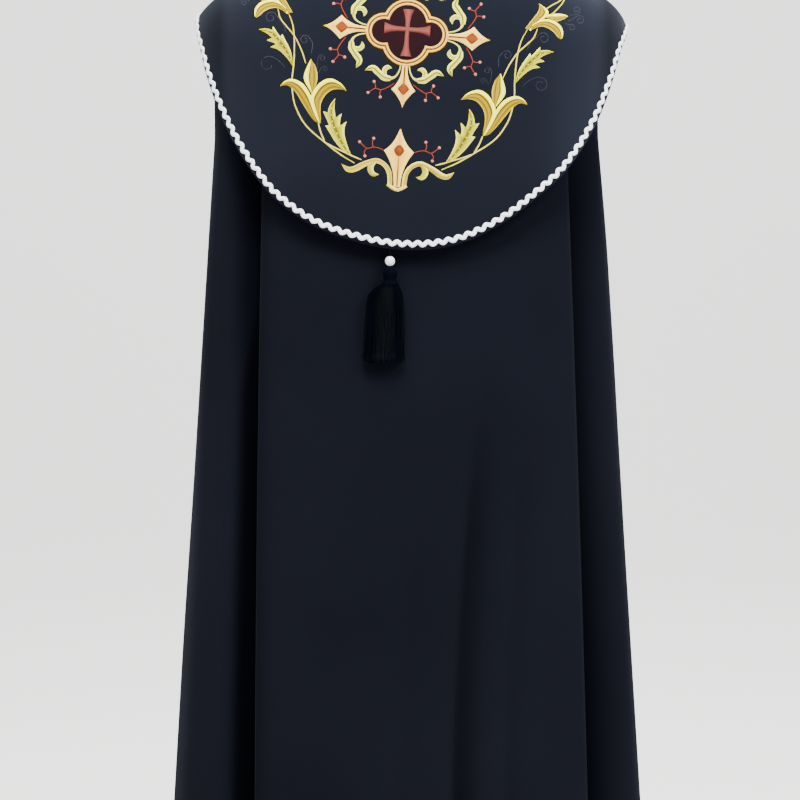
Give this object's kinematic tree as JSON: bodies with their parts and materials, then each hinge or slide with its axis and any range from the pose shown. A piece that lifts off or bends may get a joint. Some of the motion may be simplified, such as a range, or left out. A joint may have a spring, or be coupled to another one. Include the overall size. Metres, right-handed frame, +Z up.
{
  "type": "cope",
  "caption": "Long black cloak worn over the shoulders and open down the front, with a rounded hood on the back, wavy white braid and a tassel.",
  "frame": {"origin": "centre of the neck opening, level with the points where the shoulders start; the wearer's neck passes up through it", "axes": "+Z up, the wearer faces +Y, +X is the wearer's right side; the hood hangs on the -Y side"},
  "size_m": [0.581, 0.3547, 1.3958],
  "materials": {
    "cloak_cloth": "plain matt black cloth with a cool cast",
    "hood_cloth": "stiffened matt black cloth with a cool cast",
    "white_braid": "woven white wavy braid",
    "black_thread": "black twisted thread",
    "pale_bead": "pale glossy bead"
  },
  "bodies": {
    "root": {"back_panel": "cloak_cloth", "left_front": "cloak_cloth", "right_front": "cloak_cloth", "neck_band": "cloak_cloth", "chest_tab": "cloak_cloth", "hood": "hood_cloth", "hood_braid": "white_braid", "tassel_hanger": "black_thread", "tassel_bead": "pale_bead", "tassel": "black_thread"}
  },
  "joints": []
}
